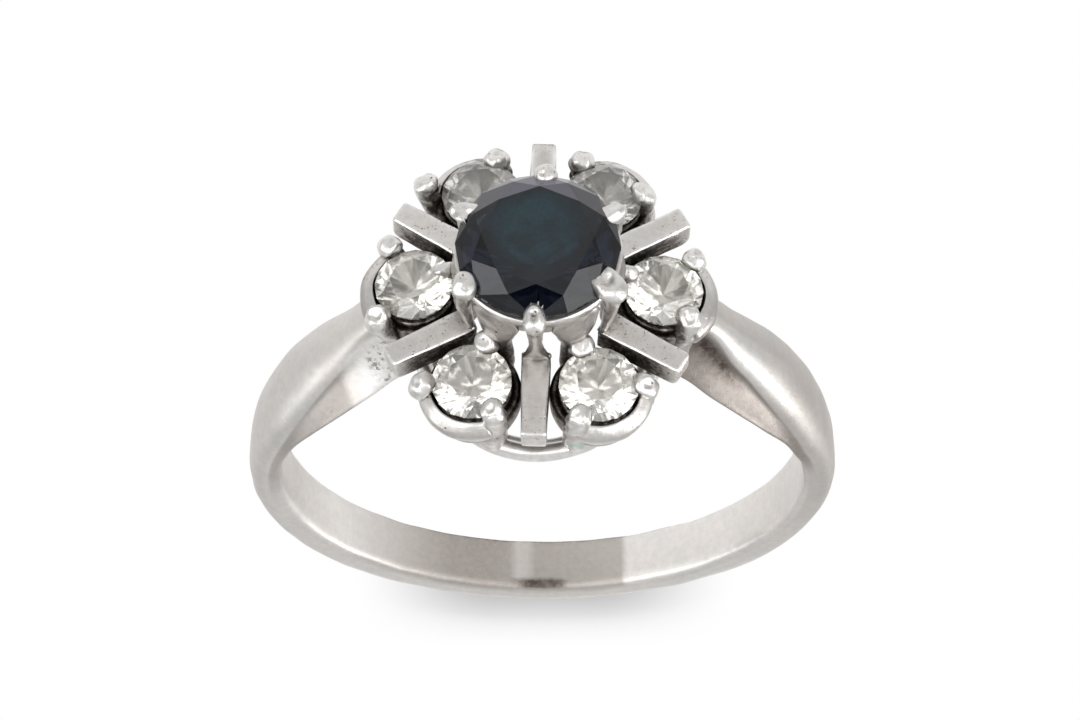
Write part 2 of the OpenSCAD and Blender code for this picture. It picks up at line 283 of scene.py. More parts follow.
def white_gold(name, soil_gain=1.0, rough=0.29, specks=1.0, brushed=0.0):
    """Worn white gold: satin with fine scratches, specks and pits, warm
    patches, bright rubbed edges where the soil and shade value is below
    nought, pitted too where it is under -1, brown where it is above, as soil
    and, on the band, as painted shade, and brown soil where walls shelter it."""
    material, out, w = new_material(name)
    place = millimetres(w)
    clouds = noise(w, place, 0.55, 3.0)
    grain = noise(w, place, 16.0, 3.0, 0.6)
    speckle = noise(w, place, 5.0, 4.0, 0.65)
    mottle = noise(w, place, 2.8, 5.0, 0.7)
    dots = noise(w, place, 11.0, 3.0, 0.7).step(0.58, 0.70) * specks
    across = millimetres(w, (1.2, 26.0, 5.0), (0.3, 0.2, 0.5))
    along = millimetres(w, (24.0, 1.0, 4.0), (0.1, 0.5, -0.4))
    scratches = noise(w, across, 1.0, 2.0).step(0.60, 0.68)
    scratches = scratches.math("MAXIMUM", noise(w, along, 1.0, 2.0).step(0.61, 0.68))
    cells = w.add("TexVoronoi", {}, {"Vector": place, "Scale": 2.6}, "Distance")
    pits = cells.step(0.13, 0.06) * clouds.step(0.46, 0.60) * specks
    soil = w.add("Attribute", {"attribute_name": "soil"}, out="Fac")
    # The soil and shade value: soil and wear, and on the band painted shade that stands in for a dark
    # reflection. Above nought it browns and darkens.
    rubbed, soiled = (0.0 - soil).math("MAXIMUM", 0.0), soil.math("MAXIMUM", 0.0)
    open_sky = w.add("AmbientOcclusion", {"samples": 8}, {"Distance": 1.1 * MM}, "AO")
    sheltered = (1.0 - open_sky).step(0.20, 0.82)
    etched = rubbed.step(1.15, 1.75) * speckle.step(0.47, 0.62)
    blotches = speckle.step(0.36, 0.64, 0.40 + 1.5 * brushed, 1.25 - 1.5 * brushed)
    # Dark blotches where soil and the band's painted shade are heavy, and in sheltered hollows; then pits,
    # dots and etching.
    dirt_and_shade = (soiled ** 4.0 + sheltered * soil_gain) * blotches
    dirt_and_shade = dirt_and_shade + pits * 0.8 + dots * (clouds.step(0.35, 0.65) * 0.85) + etched * 0.6
    dirt_and_shade = dirt_and_shade.step(0.0, 1.0)
    worn = speckle.step(0.3, 0.7) * (0.30 - brushed) + mottle.step(0.35, 0.65) * brushed
    stain = distance(w, place, GREEN_SPOT).step(0.42, 0.12) * speckle.step(0.40, 0.56, 0.2, 0.6)
    colour = clouds.step(0.35, 0.65).blend(GREY_GOLD, WARM_GOLD)
    colour = rubbed.blend(colour, RUBBED_GOLD)
    colour = worn.blend(colour, WORN_GOLD)
    # Brown over soil and over the band's painted shade; then the dark blotches.
    colour = soiled.step(0.0, 1.0, 0.0, 0.95).blend(colour, BROWN_FILM_AND_SHADE)
    colour = dirt_and_shade.blend(colour, DARK_SOIL_AND_SHADE)
    colour = stain.blend(colour, GREEN_STAIN)
    height = grain * 0.30 + speckle * 0.55 + scratches * (0.35 + brushed)
    height = height - pits * 3.0 - etched * 1.5 - dots * 0.6 + mottle * brushed
    bump = w.add("Bump", {}, {"Strength": 0.55, "Distance": 0.012 * MM, "Height": height})
    roughness = rough + grain * 0.06 + clouds * 0.10 + mottle * (brushed * 0.3)
    roughness = roughness - scratches * 0.05 + dirt_and_shade * 0.18 - rubbed * 0.04
    shine = w.add("BsdfPrincipled", {}, {
        "Base Color": colour, "Metallic": 1.0, "Normal": bump, "Roughness": roughness})
    w.tree.links.new(shine.socket, out.inputs["Surface"])
    return material


def clear_stone(name, shade):
    """Old brilliant: bends light strongly, and is a little milky. Its table,
    which faces along the head's axis, has painted shade: a duller, darker
    tint than the other facets. The shade dims all its tints, set stone by
    stone."""
    material, out, w = new_material(name)
    tints = np.array([(0.66, 0.635, 0.585), (0.79, 0.77, 0.72), (0.58, 0.56, 0.515)]) * shade
    cloudy, clear, painted_table_shade = ((*tint, 1) for tint in tints)
    haze = noise(w, millimetres(w), 5.0, 3.0, 0.7)
    # Painted shade: the table facet gets the dull, dark tint.
    table = facing(w, (0, 0, 1)).step(0.95, 0.98)
    tint = table.blend(haze.step(0.3, 0.7).blend(cloudy, clear), painted_table_shade)
    glass = w.add("BsdfPrincipled", {}, {
        "Base Color": tint, "Roughness": table * 0.09 + 0.08, "IOR": 1.9, "Transmission Weight": 0.95})
    w.tree.links.new(glass.socket, out.inputs["Surface"])
    return material


def dark_blue_stone():
    """Dark blue stone with a painted greenish glow, given as emission, for the
    light that fine silk under its table scatters, and a painted violet
    reflection, also emission, on the facets at its back."""
    material, out, w = new_material("dark_blue_stone")
    place = millimetres(w)
    off = distance(w, place, (0, -0.25, CENTER_Z + 0.5))
    silk = noise(w, place, 9.0, 4.0, 0.75)
    patches = noise(w, place, 1.3, 2.0)
    # Painted glow: emission standing in for light scattered by the silk under the table.
    glow = off.step(1.75, 0.7) * silk.step(0.25, 0.75, 0.45, 1.0) * patches.step(0.35, 0.6, 0.45, 1.0)
    light = glow.blend((0.0, 0.0, 0.001, 1), (0.002, 0.028, 0.036, 1))
    # Painted reflection: violet emission on the facets that face the back.
    light = facing(w, (0, -0.6, 0.8)).step(0.86, 0.95).blend(light, (0.095, 0.087, 0.108, 1))
    tint = silk.step(0.3, 0.7).blend((0.0015, 0.0025, 0.005, 1), (0.003, 0.005, 0.009, 1))
    glass = w.add("BsdfPrincipled", {}, {
        "Base Color": tint, "Roughness": 0.02, "IOR": 1.52, "Transmission Weight": 1.0,
        "Emission Color": light, "Emission Strength": 1.0})
    w.tree.links.new(glass.socket, out.inputs["Surface"])
    return material


def band_marks(angle, across, height, thickness):
    """Marks on the band, from the angle round the finger hole, the place
    across, the height over the bore and the thickness: painted shade on the
    bore's wall, darkest round the bottom of the hole where it stands for a
    dark reflection, with a lighter streak, on a spot of its front edge and
    faintly outside, and a rubbed edge. Then the share of the bright, pitted
    joint at the left shoulder's end."""
    # Painted shade on the bore's wall, by the angle: a dark reflection round the bottom of the hole, with a
    # lighter streak in it.
    angles = [-1.7, -1.2, -0.8, -0.355, -0.345, 0.0, 0.25, 0.39, 0.53, 0.74, 0.95, 1.3, 1.7]
    shade_levels = [0.34, 0.26, 0.05, 0.0, 0.56, 0.62, 0.69, 0.69, 0.58, 0.38, 0.12, 0.40, 0.44]
    reach = np.interp(np.abs(angle), [0.75, 1.1], [0.31, 0.035])
    painted_shade = np.interp(angle, angles, shade_levels) - 0.30 * bell(angle, 0.092, 0.03)
    painted_shade = painted_shade * np.clip(1.3 - height / reach, 0, 1)
    # Painted shade too: a dark spot on the front edge, and a faint brown tone outside, round the bottom of
    # the hole.
    spot = bell(angle, 0.01, 0.14, 4) * (1 - ramp(np.abs(across - 0.70), 0.14, 0.20))
    spot = 0.95 * spot * (1 - ramp(height, 0.12, 0.2))
    film_and_shade = 0.16 * bell(angle, 0.01, 0.20) * (height > 0.1) * (across > 0) * (across < 1.2)
    mark = np.maximum(np.maximum(painted_shade, spot), film_and_shade)
    edge = 0.5 * bell(height, 0.08, 0.12) * (across > 0.5) * (1 - ramp(np.abs(angle), 1.35, 0.2))
    joint = ramp(angle, 2.40, 0.20) * ramp(across, 0.1, 0.5) * np.clip(6 - 7 * height / thickness, 0, 1)
    return mark - edge * (mark < 0.1), joint


def shank(metal):
    """Band: a rounded section carried round the finger hole. Its width,
    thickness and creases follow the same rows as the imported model: share of
    the way round, growth in width, the back crease's place, growth in
    thickness, the back crease's height, the dome's power, and the front
    crease's place and height."""
    rows = np.array([
        [0.00, 0.00, 1.00, 0.03, 0.52, 0.50, 1.00, 0.52], [0.16, 0.00, 1.00, 0.05, 0.52, 0.50, 1.00, 0.52],
        [0.32, 0.03, 1.00, 0.09, 0.52, 0.50, 1.00, 0.52], [0.48, 0.10, 1.00, -0.02, 0.48, 0.55, 1.00, 0.48],
        [0.62, 0.30, 1.00, -0.14, 0.43, 0.65, 1.00, 0.43], [0.72, 0.66, 1.00, -0.12, 0.38, 0.80, 0.94, 0.39],
        [0.80, 0.98, 0.98, -0.01, 0.33, 0.95, 0.76, 0.42], [0.87, 1.00, 0.97, 0.12, 0.30, 1.00, 0.58, 0.54],
        [0.925, 0.66, 1.02, 0.33, 0.42, 1.00, 0.47, 0.70], [0.965, 0.22, 1.13, 0.70, 0.60, 1.00, 0.42, 0.84],
        [1.00, -0.05, 1.26, 1.00, 0.72, 1.00, 0.44, 0.95]])
    half = smooth_path(rows, 12)
    side = np.concatenate([-np.ones(len(half) - 1), np.ones(len(half))])
    right = side < 0
    both = np.concatenate([half[:0:-1], half])
    share, wide, back_place, thick, back_height, power, front_place, front_height = both.T
    near, late = ramp(share, 0.8, 0.1), ramp(share, 0.88, 0.05)
    w = (BACK_W + (SHOULDER_W - BACK_W) * wide) / 2
    t = BACK_T + (END_T - BACK_T) * thick
    zero = np.zeros_like(w)

    def climb(place, height, cut, round_off, soils):
        """One side's outline up to the top: the rounded inner edge, the
        bevel, the crease and the dome. Columns: across, height, and the soil
        and shade value, which is given for the edge, the bevel, the crease and
        the dome."""
        wd, td = w * place, t * height
        bend, crease = np.maximum(0.45 * td, 1.15 * round_off), 0.85 * td - cut
        up = [[w - 2.0 * round_off, zero, zero], [w - 0.22 * round_off, zero + 0.03, soils[0]],
              [w, zero + round_off, soils[1]], [(w + wd) / 2 - cut, bend, soils[1]],
              [wd - cut, np.maximum(crease, bend + 0.05), soils[2]]]
        for a in np.radians(np.arange(0, 90, 7.5)):
            up.append([wd * np.cos(a) ** power, td + (t - td) * np.sin(a), soils[3]])
        return np.array(up)

    # The bevel is darker and browner, and the outside darker, more so on the right side.
    bevel = np.where(right, 0.72, 0.54) * ramp(share, np.where(right, 0.54, 0.48), 0.14)
    film_and_shade = ramp(share, 0.25, 0.3) * np.where(right, 0.40, 0.16 * (1 - near))
    front, dome = np.maximum(bevel, film_and_shade), film_and_shade * (1 - 0.7 * near)
    up = climb(front_place, front_height, np.where(right, 0.10, 0.07) * near,
               0.36 - 0.24 * ramp(share, 0.5, 0.2), (0.85 * bevel, front, front + 0.40 * late, dome))
    down = climb(back_place, back_height, 0.08 * near, 0.14 + zero, (zero, film_and_shade, film_and_shade + 0.4 * near, film_and_shade))
    down = down[::-1] * np.array([-1.0, 1.0, 1.0])[None, :, None]
    outline = cut_corners(np.moveaxis(np.concatenate([up, [[zero, t, dome]], down]), -1, 0))
    across, height, soil = np.moveaxis(outline, -1, 0)
    angle = (side * share * END_ANGLE)[:, None]
    r = BORE_R + height
    p = np.stack([r * np.sin(angle), across, -r * np.cos(angle)], -1)
    marks, joint = band_marks(angle, across, height, t[:, None])
    shells = Shells()
    shells.add(p, (soil + marks) * (1 - joint) - 2.4 * joint, hand=0.010, grain=1.6, seed=3)
    shells.make("shank", metal)


def base_rim(metal):
    """Oval rim: a stepped, rounded section carried round an ellipse."""
    section = cut_corners(np.array([
        [0.0, 0.0], [0.0, 0.3], [0.05, RIM_T], [0.4, RIM_T], [0.46, 0.3], [0.74, 0.24], [RIM_W, 0.0]]), 3)
    a = np.linspace(0, 2 * np.pi, 160, endpoint=False)[:, None]
    p = np.stack(np.broadcast_arrays((RIM_R * RIM_OVAL - section[:, 0]) * np.cos(a),
                                     (RIM_R - section[:, 0]) * np.sin(a), RIM_Z0 + section[:, 1]), -1)
    shells = Shells()
    shells.add(turned(p, HEAD_SPIN), -0.9, round_rows=True, hand=0.02, grain=1.5, seed=5)
    shells.make("base_rim", metal)


def bar(metal, k):
    """Radial bar: a rounded rectangle carried outward, narrowing, with its
    outer end rounded under, rubbed bright edges and a low ridge where the
    claw's foot meets it."""
    under_r, end_r, c = 0.3, 0.10, 0.05
    quarter = np.radians(np.arange(0, 91, 9))
    x = np.concatenate([np.linspace(BAR_IN, HEAD_R - under_r - 0.02, 26),
                        HEAD_R - under_r + under_r * np.sin(quarter)])
    under, end = ramp(x, HEAD_R - under_r, under_r), ramp(x, HEAD_R - end_r, end_r)
    drop = 1 - np.sqrt(1 - end ** 2)
    low = BAR_Z - BAR_DEPTH + under_r - under_r * np.sqrt(1 - under ** 2)
    high = BAR_Z - end_r * drop + 0.05 * bell(x, BAR_IN + 0.05, 0.05)
    w = np.interp(x, [BAR_IN + 0.4, HEAD_R], [BAR_W, BAR_TIP_W]) / 2 - 0.06 * drop
    zero = np.zeros_like(x)
    rub, film_and_shade = zero - 0.9, zero + BAR_TOP_DARKENING[k]
    ring = np.array([[w, low + c, zero + 0.75], [w, low + 0.3, zero + 0.6], [w, high - 3 * c, zero + 0.4],
                     [w, high - c, rub], [w - c, high, rub], [w - 3 * c, high, film_and_shade],
                     [3 * c - w, high, film_and_shade], [c - w, high, rub], [-w, high - c, rub],
                     [-w, high - 3 * c, zero + 0.4], [-w, low + 0.3, zero + 0.6], [-w, low + c, zero + 0.75],
                     [c - w, low, zero + 0.8], [w - c, low, zero + 0.8]])
    ring = cut_corners(np.moveaxis(ring, -1, 0))
    p = np.stack([np.broadcast_to(x[:, None], ring.shape[:2]), ring[..., 0], ring[..., 1]], -1)
    middle = p[-1].mean(0)
    lids = np.stack([middle + (p[-1] - middle) * size + np.array([bulge, 0, 0])
                     for size, bulge in [(0.93, 0.012), (0.8, 0.018), (0.4, 0.02)]])
    out = ramp(x, HEAD_R - 0.5, 0.5)[:, None]
    soil = ring[..., 2] * (1 - 0.7 * out) - 0.5 * out ** 4
    soil = np.concatenate([soil, np.full((len(lids), soil.shape[1]), 0.05)])
    spin = HEAD_SPIN + np.pi / 6 + np.pi / 3 * k
    shells = Shells()
    shells.add(turned(np.concatenate([p, lids]), spin), soil, hand=0.010, grain=1.3, seed=20 + k)
    across = np.linspace(-1, 1, 15)
    flat = np.zeros_like(across)
    rows = np.stack([BAR_IN + 0.03 + 0.02 * across ** 2, (BAR_W / 2 - 0.07) * across, flat + BAR_Z - 0.03,
                     flat + 0.10, flat + 0.10], -1)
    ridge = stalk(rows, (1, 0, 0), steps=2, around=20, tip=5)
    shells.add(turned(ridge, spin), -1.0, hand=0.010, grain=0.5, seed=30 + k)
    shells.make(f"bar_{k + 1}", metal)


def filed(p, spot, way, soft=0.03):
    """Files a flat: points past a plane come back to it, softly at its edge."""
    way = np.asarray(way, float) / np.linalg.norm(way)
    over = (p - np.asarray(spot)) @ way
    return p - (soft * np.log1p(np.exp(np.clip(over / soft, -30, 30))))[..., None] * way


def dented(p, spot, size, push):
    """Pushes points near a spot, by a bell curve of the given size."""
    near = np.exp(-((p - np.asarray(spot)) ** 2).sum(-1) / size ** 2)
    return p + near[..., None] * np.asarray(push), near


def stalk(rows, side, steps=7, around=28, tip=10):
    """Claw: ellipses carried along a path of rows (x, y, z, half width across
    the side vector, half depth), closed by half an ellipsoid at the tip."""
    q = smooth_path(rows, steps)
    p, wide, deep = q[:, :3], q[:, 3], q[:, 4]
    way = np.gradient(p, axis=0)
    way /= np.linalg.norm(way, axis=1)[:, None]
    side = np.asarray(side, float)
    front = np.cross(side, way)
    front /= np.linalg.norm(front, axis=1)[:, None]
    quarter = np.linspace(0, np.pi / 2, tip + 2)[1:-1]
    lift, shrink = np.sin(quarter), np.cos(quarter)
    reach = (wide[-1] + deep[-1]) / 2
    p = np.concatenate([p, p[-1] + way[-1] * (reach * lift)[:, None]])
    wide = np.concatenate([wide, wide[-1] * shrink])
    deep = np.concatenate([deep, deep[-1] * shrink])
    front = np.concatenate([front, np.repeat(front[-1:], tip, 0)])
    a = np.linspace(0, 2 * np.pi, around, endpoint=False)[None, :, None]
    wide, deep = wide[:, None, None], deep[:, None, None]
    return p[:, None] + side * np.cos(a) * wide + front[:, None] * np.sin(a) * deep


def bead(middle, half, turn, taper, flats, pits):
    """Bead of a claw: an ellipsoid of three half lengths, turned in the head's
    plane, wider at the end to which it tapers up. Flats are then filed on it
    and pits pressed into it, at places given from its middle. Gives its points
    and how near each is to a small pit."""
    lat = np.radians(np.linspace(-86, 86, 27))[:, None]
    lon = np.linspace(0, 2 * np.pi, 44, endpoint=False)[None, :]
    x, y, z = np.cos(lat) * np.cos(lon), np.cos(lat) * np.sin(lon), np.sin(lat) + 0 * lon
    p = np.stack([half[0] * x, half[1] * y * (1 + taper * x), half[2] * z], -1)
    p = turned(p, np.radians(turn))
    stain = np.zeros(p.shape[:2])
    for spot, way in flats:
        p = filed(p, spot, way)
    for spot, size, push in pits:
        p, near = dented(p, spot, size, push)
        stain = stain + (size < 0.15) * near ** 2
    return p + np.asarray(middle), stain


def center_claws(metal):
    """Six claws of the center stone on the inner ends of the bars: a stem
    that flares at its foot, and a worn bead of its own over the girdle, given
    by its middle, half lengths, turn, taper, roughness, flats and pits. Burrs
    are given by their root, direction, length and width."""
    top = CENTER_Z
    beads = [
        ((2.13, 1.42, top + 0.14), (0.45, 0.37, 0.42), 95, 0.10, 0.012,
         [((0, 0, 0.30), (-0.3, 0.1, 1.0))],
         [((0.10, 0.25, 0.2), 0.14, (0.0, -0.05, -0.08))]),
        ((0.10, 2.55, top + 0.14), (0.50, 0.34, 0.40), 90, 0.15, 0.008,
         [],
         [((0.0, -0.02, 0.38), 0.11, (0.0, 0.0, -0.22)), ((0.01, 0.16, 0.36), 0.09, (0.0, 0.0, -0.12))]),
        ((-1.96, 1.30, top + 0.16), (0.82, 0.44, 0.44), 131, 0.28, 0.010,
         [((0, 0, 0.30), (0.30, -0.35, 1.0))],
         [((-0.08, 0.10, 0.36), 0.27, (0.0, 0.0, -0.24)), ((0.34, -0.10, 0.28), 0.09, (0.0, 0.0, -0.12))]),
        ((-2.15, -1.04, top + 0.14), (0.50, 0.37, 0.34), 15, 0.35, 0.012,
         [((0, 0, 0.24), (0.3, -0.25, 1.0)), ((0.2, -0.2, 0), (0.5, -1.0, 0.4))],
         []),
        ((-0.22, -2.34, top + 0.16), (0.36, 0.35, 0.36), 0, 0.0, 0.008,
         [((0, 0, 0.30), (-0.2, 0.2, 1.0))],
         [((0.12, 0.1, 0.3), 0.08, (0.0, 0.0, -0.06))]),
        ((2.08, -1.04, top + 0.12), (0.56, 0.34, 0.32), -8, -0.15, 0.022,
         [((0, 0, 0.20), (0.15, 0.1, 1.0))],
         [((-0.30, 0.05, 0.2), 0.12, (0.0, 0.0, -0.10)), ((0.2, 0.1, 0.25), 0.08, (0.0, 0.0, -0.06))])]
    burrs = {
        1: [(-0.10, -0.30, 4.62, 0.62, 0.050), (0.02, -0.36, 4.9, 0.22, 0.045),
            (0.12, -0.34, 4.5, 0.18, 0.045), (-0.2, -0.25, 4.2, 0.16, 0.04)],
        5: [(-0.42, 0.0, 3.6, 0.26, 0.06), (-0.40, 0.14, 3.0, 0.24, 0.05), (-0.36, -0.12, 4.1, 0.26, 0.05),
            (-0.25, 0.24, 2.5, 0.20, 0.05), (0.1, 0.28, 1.8, 0.16, 0.05)],
        2: [(0.30, -0.55, 5.0, 0.20, 0.05), (0.42, -0.50, 5.4, 0.16, 0.04)]}
    for k, (middle, half, turn, taper, rough, flats, pits) in enumerate(beads):
        spin = HEAD_SPIN + np.pi / 6 + np.pi / 3 * k
        rows = [[2.46, 0, BAR_Z - 0.6, 0.41, 0.14], [2.44, 0, BAR_Z + 0.02, 0.40, 0.15],
                [2.45, 0, BAR_Z + 0.30, 0.31, 0.17], [2.48, 0, BAR_Z + 0.65, 0.23, 0.20],
                [2.55, 0, BAR_Z + 1.1, 0.20, 0.23], [2.60, 0, CENTER_Z - 0.55, 0.25, 0.24],
                [2.58, 0, CENTER_Z - 0.22, 0.27, 0.26], [2.50, 0, CENTER_Z, 0.27, 0.26]]
        p = turned(stalk(rows, (0, 1, 0), steps=9, around=36, tip=8), spin)
        height = (p[..., 2] - BAR_Z) / (CENTER_Z - BAR_Z)
        at_top = 2.5 * np.array([np.cos(spin), np.sin(spin)])
        p[..., :2] += ramp(height, 0.6, 0.4)[..., None] * (0.8 * (np.array(middle[:2]) - at_top))
        soil = 0.50 * np.clip(1.05 - height * 1.3, 0, 1) - 1.2 * bell(height, 0.02, 0.05)
        soil = soil + 0.55 * np.clip(1 - np.abs(height - 0.85) / 0.12, 0, 1)
        shells = Shells()
        shells.add(p, soil, hand=0.012, grain=0.4, seed=40 + k)
        p, stain = bead(middle, half, turn, taper, flats, pits)
        lift = (p[..., 2] - middle[2]) / half[2]
        soil = 1.1 * stain + np.interp(lift, [-1, -0.5, 0.2, 1], [0.8, 0.5, -0.2, -0.7])
        shells.add(p, soil, hand=rough, grain=0.4, seed=46 + k)
        for x, y, way, size, wide in burrs.get(k, []):
            rows = [[middle[0] + x + size * f * np.cos(way), middle[1] + y + size * f * np.sin(way),
                     middle[2] + 0.16 + 0.10 * size * f, wide * (1.05 - f), 0.7 * wide * (1.05 - f)]
                    for f in (0.0, 0.35, 0.7, 1.0)]
            burr = stalk(rows, (0, 0, 1), steps=4, around=12, tip=3)
            shells.add(burr, -1.0, hand=0.01, grain=0.2, seed=60 + k)
        shells.make(f"center_claw_{k + 1}", metal)


def center_collet(metal):
    """Scalloped collet: a thin wall carried round the head's axis, whose
    lower edge rises in a round arch between each two claws."""
    arch_w, arch_h = 0.74, 0.72
    top, bottom = CENTER_Z + COLLET_TOP, CENTER_Z + COLLET_TOP - COLLET_H
    a = np.linspace(0, 2 * np.pi, 360, endpoint=False)
    off = (a + np.pi / 6) % (np.pi / 3) - np.pi / 6
    low = bottom + arch_h * np.sqrt(np.clip(1 - (off * COLLET_R / arch_w) ** 2, 0, 1))
    share = np.array([0.0, 0.33, 0.66, 0.86, 0.97, 1.0])
    z = low[:, None] + (top - low)[:, None] * share
    wall = np.interp(z, [bottom, top - 0.3, top - 0.06, top],
                     [COLLET_R - 0.3, COLLET_R, COLLET_R + 0.01, COLLET_R - 0.05])
    inner = np.interp(z, [bottom, top], [COLLET_R - 0.58, COLLET_R - 0.42])
    soil = np.interp(z, [bottom, top - 0.34, top - 0.16, top - 0.05, top], [0.60, 0.48, 0.26, -0.5, -0.2])
    outside, inside = np.stack([wall, z, soil], -1), np.stack([inner, z, soil * 0 + 0.6], -1)
    ring = cut_corners(np.concatenate([outside, inside[:, ::-1]], 1))
    t = a[:, None]
    p = np.stack([ring[..., 0] * np.cos(t), ring[..., 0] * np.sin(t), ring[..., 1]], -1)
    shells = Shells()
    shells.add(turned(p, HEAD_SPIN), ring[..., 2], round_rows=True, hand=0.008, grain=0.9, seed=60)
    shells.make("center_collet", metal)


def arc_shell(shells, section, soil, low, high, steps, k, seed):
    """Adds a section carried round side stone k's axis from one angle to
    another, with both ends drawn in round."""
    a = np.linspace(low, high, steps)
    from_end = np.minimum(np.arange(steps), np.arange(steps)[::-1])
    draw = np.sqrt(np.clip(1 - np.clip(1 - from_end / 4.0, 0, 1) ** 2, 0.02, 1))
    middle = section.mean(0)
    ring = middle + (section - middle) * draw[:, None, None]
    t = a[:, None]
    p = np.stack([ring[..., 0] * np.cos(t), ring[..., 0] * np.sin(t), ring[..., 1]], -1)
    shells.add(beside(p, k), soil, hand=0.010, grain=0.8, seed=seed)


# How far each side claw's tip stands from its regular place, from the left
# side collet round by the front: the first claw of each, then the second
CLAW_SHIFTS = np.array([
    [[0.11, -0.13, 0.0], [0.33, 0.0, 0.0]], [[0.10, 0.14, 0.0], [0.0, -0.08, 0.15]],
    [[-0.15, 0.0, 0.14], [0.0, 0.0, 0.0]], [[-0.07, -0.16, 0.05], [-0.20, 0.14, 0.0]],
    [[0.18, -0.08, 0.0], [0.0, 0.0, 0.05]], [[0.24, 0.0, 0.05], [0.32, -0.26, 0.0]]])
# Inner claw of each side collet: its size, how far its tip is from the
# stone's axis and above its girdle, and how many degrees it is turned
INNER_CLAWS = [(0.62, 0.86, 0.44, 16), (1.25, 1.22, 0.26, 10), (1.25, 1.22, 0.26, -4),
               (0.80, 1.06, 0.42, -14), (1.0, 1.25, 0.23, 0), (1.0, 1.25, 0.23, 0)]


def around_stone(section, k):
    """Carries a section, given by radius and height, round side stone k."""
    a = np.linspace(0, 2 * np.pi, 72, endpoint=False)[:, None]
    radius, height = section.T
    p = np.stack(np.broadcast_arrays(radius * np.cos(a), radius * np.sin(a), height), -1)
    return beside(p, k)


def side_claw(shells, k, n):
    """Outer claw n of side stone k: a stalk from the base rim up over the
    girdle, with a filed flat and a small pit at its tip."""
    rows = [[1.10, 0, -2.15, 0.38, 0.36], [1.12, 0, -1.9, 0.42, 0.40], [1.22, 0, -1.2, 0.38, 0.38],
            [1.36, 0, -0.5, 0.36, 0.36], [1.42, 0, -0.05, 0.37, 0.35], [1.31, 0, 0.14, 0.36, 0.33]]
    p = stalk(rows, (0, 1, 0), steps=8, around=32, tip=12)
    rng = np.random.default_rng(200 + 2 * k + n)
    p = filed(p, (1.3, 0.0, 0.42), (rng.uniform(-0.6, 0.3), rng.uniform(-0.5, 0.5), 1.0))
    pit = (1.45 + rng.uniform(-0.1, 0.1), rng.uniform(-0.12, 0.12), 0.36)
    p, near = dented(p, pit, 0.12, (-0.05, 0.0, -0.09))
    soil = 0.45 * np.clip(1 - np.abs(p[..., 2] + 1.0) / 0.9, 0, 1) + 0.9 * near ** 2
    soil = soil - 0.6 * np.clip(p[..., 2] + 0.3, 0, 0.4) / 0.4
    lean = ramp(p[..., 2], -1.3, 1.2)[..., None]
    lean = lean * lean * (3 - 2 * lean)
    p = beside(turned(p, np.radians((-60.0, 60.0)[n])), k) + lean * CLAW_SHIFTS[k, n]
    shells.add(p, soil, hand=0.026, grain=0.5, seed=100 + 2 * k + n)


